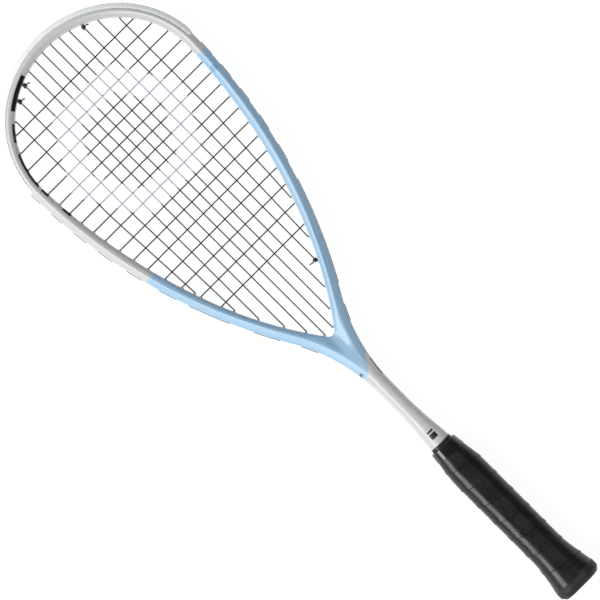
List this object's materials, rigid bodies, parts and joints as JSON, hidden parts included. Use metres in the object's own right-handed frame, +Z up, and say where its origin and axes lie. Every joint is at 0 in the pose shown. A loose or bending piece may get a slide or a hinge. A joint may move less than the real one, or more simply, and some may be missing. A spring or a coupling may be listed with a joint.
{
  "type": "squash racket",
  "caption": "Strung squash racket with a teardrop head, bumper guard, grommet strips, woven strings, slim shaft and a wrapped foam handle with a flared butt cap.",
  "frame": {"origin": "under the middle of the racket's length and width, on the surface that it lies on", "axes": "+X across the face, +Y along the racket towards the tip of the head, +Z up through the strings"},
  "size_m": [0.206, 0.686, 0.039],
  "materials": {
    "frame_paint": "satin lacquer on carbon fibre, light grey over the head and the shaft and light blue on the arms and throat",
    "bumper": "moulded nylon, off-white",
    "grommet": "moulded nylon, translucent pale grey",
    "string": "coated nylon, black",
    "foam": "moulded polyurethane foam, dark grey",
    "cap": "moulded, black, slightly matte",
    "badge": "moulded, plain, satin black",
    "staple": "plain wire",
    "grip": "black polyurethane grip, soft sheen",
    "tape": "glossy black vinyl tape",
    "collar": "black rubber"
  },
  "bodies": {
    "root": {"frame": "frame_paint", "bumper_guard": "bumper", "side_grommet_strip_left": "grommet", "side_grommet_strip_right": "grommet", "lower_grommet_strip_left": "grommet", "lower_grommet_strip_right": "grommet", "main_string": "string", "cross_string": "string", "main_knot_left": "string", "main_knot_right": "string", "cross_knot_top": "string", "cross_knot_bottom": "string", "handle_foam": "foam", "butt_cap": "cap", "butt_badge": "badge", "butt_cap_staples": "staple", "grip_wrap": "grip", "finishing_tape": "tape", "grip_collar": "collar"}
  },
  "joints": []
}
